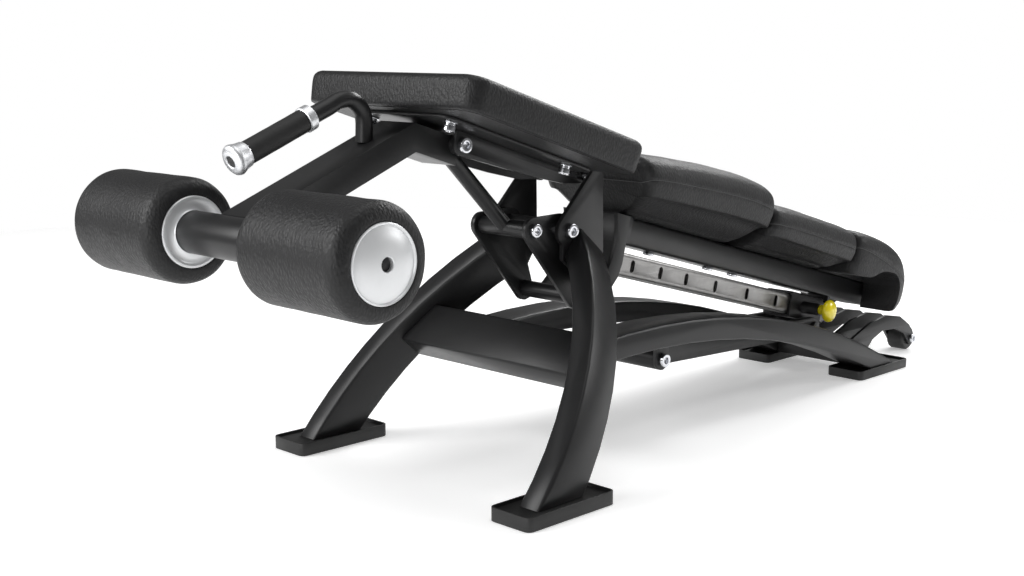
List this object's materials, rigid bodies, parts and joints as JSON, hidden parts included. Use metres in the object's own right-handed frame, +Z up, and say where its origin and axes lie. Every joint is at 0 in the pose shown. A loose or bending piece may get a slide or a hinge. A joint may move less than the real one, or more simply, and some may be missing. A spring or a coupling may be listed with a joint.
{
  "type": "adjustable utility bench",
  "caption": "Decline utility bench with a seat, sectional backrest on a slotted ladder bar, arched frame, leg rollers on an arm with a lift handle and transport wheels.",
  "frame": {"origin": "floor level under the centre of the bounding box", "axes": "+X to the right side with the yellow pull pin, +Y towards the head end, +Z up"},
  "size_m": [0.6238, 1.7808, 0.6185],
  "materials": {
    "black_paint": "satin",
    "black_vinyl": "grained",
    "black_rubber": "matte",
    "chrome": "polished",
    "silver_cap": "satin",
    "brushed_steel": "brushed",
    "yellow_plastic": "gloss"
  },
  "bodies": {
    "frame": {"front_leg_left": "black_paint", "front_leg_right": "black_paint", "front_cross_tube": "black_paint", "mast_plate_left": "black_paint", "mast_plate_right": "black_paint", "rear_rail_left": "black_paint", "rear_rail_right": "black_paint", "wheel_bracket": "black_paint", "front_foot_left": "black_rubber", "front_foot_right": "black_rubber", "rear_foot_left": "black_rubber", "rear_foot_right": "black_rubber", "seat_pivot_shaft": "chrome", "backrest_pivot_bolt": "chrome", "prop_pivot_bolt": "chrome", "wheel_bolt_left": "chrome", "wheel_bolt_right": "chrome"},
    "backrest": {"crank_plate_left": "black_paint", "crank_plate_right": "black_paint", "crank_hub_tube": "black_paint", "crank_tie_tube": "black_paint", "strut_stub_bolt_left": "chrome", "strut_stub_bolt_right": "chrome", "back_tube": "black_paint", "ladder_bar": "brushed_steel", "lower_back_pad": "black_vinyl", "middle_back_pad": "black_vinyl", "head_pad": "black_vinyl", "tube_bolt_1": "chrome", "tube_bolt_2": "chrome", "tube_bolt_3": "chrome"},
    "seat": {"seat_pad": "black_vinyl", "seat_plate": "black_paint", "seat_bracket_left": "black_paint", "seat_bracket_right": "black_paint", "seat_bolt_1": "chrome", "seat_bolt_2": "chrome", "seat_bolt_3": "chrome", "seat_bolt_4": "chrome", "roller_arm_pivot_bolt": "chrome"},
    "arm": {"roller_arm": "black_paint", "strut": "black_paint", "roller_axle": "black_paint", "handle_rod": "black_paint", "handle_grip": "black_rubber", "handle_collar": "chrome", "handle_end_cap": "chrome"},
    "slider": {"adjuster_housing": "black_paint"},
    "pin": {"pull_pin": "yellow_plastic"},
    "prop_link": {"prop": "black_paint"},
    "roller_left": {"roller_foam_left": "black_rubber", "roller_outer_cap_left": "silver_cap", "roller_inner_cap_left": "silver_cap"},
    "roller_right": {"roller_foam_right": "black_rubber", "roller_outer_cap_right": "silver_cap", "roller_inner_cap_right": "silver_cap"},
    "wheel_left": {"transport_wheel_left": "black_rubber"},
    "wheel_right": {"transport_wheel_right": "black_rubber"}
  },
  "joints": [
    {"name": "backrest_tilt", "type": "hinge", "parent": "frame", "child": "backrest", "pos_m": [0, -0.2411, 0.3674], "axis": [1, 0, 0], "range_deg": [0, 90]},
    {"name": "seat_tilt", "type": "hinge", "parent": "frame", "child": "seat", "pos_m": [0, -0.1761, 0.45], "axis": [1, 0, 0], "range_deg": [0, 32.41]},
    {"name": "arm_pivot", "type": "hinge", "parent": "seat", "child": "arm", "pos_m": [0, -0.4485, 0.5121], "axis": [1, 0, 0], "range_deg": [-3.28, 0]},
    {"name": "ladder_slide", "type": "slide", "parent": "backrest", "child": "slider", "axis": [0, 0.9659, -0.2588], "range_m": [-0.5106, 0]},
    {"name": "prop_swing", "type": "hinge", "parent": "frame", "child": "prop_link", "pos_m": [0, -0.0051, 0.12], "axis": [1, 0, 0], "range_deg": [0, 103.5]},
    {"name": "pull_pin_slide", "type": "slide", "parent": "slider", "child": "pin", "axis": [1, 0, 0], "range_m": [0, 0.012], "stiffness_N_per_m": 400},
    {"name": "roller_spin_left", "type": "hinge", "parent": "arm", "child": "roller_left", "pos_m": [-0.2087, -0.8154, 0.4035], "axis": [1, 0, 0], "continuous": true},
    {"name": "roller_spin_right", "type": "hinge", "parent": "arm", "child": "roller_right", "pos_m": [0.2087, -0.8154, 0.4035], "axis": [1, 0, 0], "continuous": true},
    {"name": "wheel_spin_left", "type": "hinge", "parent": "frame", "child": "wheel_left", "pos_m": [-0.0485, 0.8639, 0.027], "axis": [1, 0, 0], "continuous": true},
    {"name": "wheel_spin_right", "type": "hinge", "parent": "frame", "child": "wheel_right", "pos_m": [0.0485, 0.8639, 0.027], "axis": [1, 0, 0], "continuous": true}
  ],
  "couplings": [
    {"joint": "seat_tilt", "follows": "backrest_tilt", "ratio": 0.36008},
    {"joint": "arm_pivot", "follows": "backrest_tilt", "ratio": -0.03641},
    {"joint": "ladder_slide", "follows": "backrest_tilt", "m_per_rad": -0.32501},
    {"joint": "prop_swing", "follows": "backrest_tilt", "ratio": 1.1498}
  ]
}
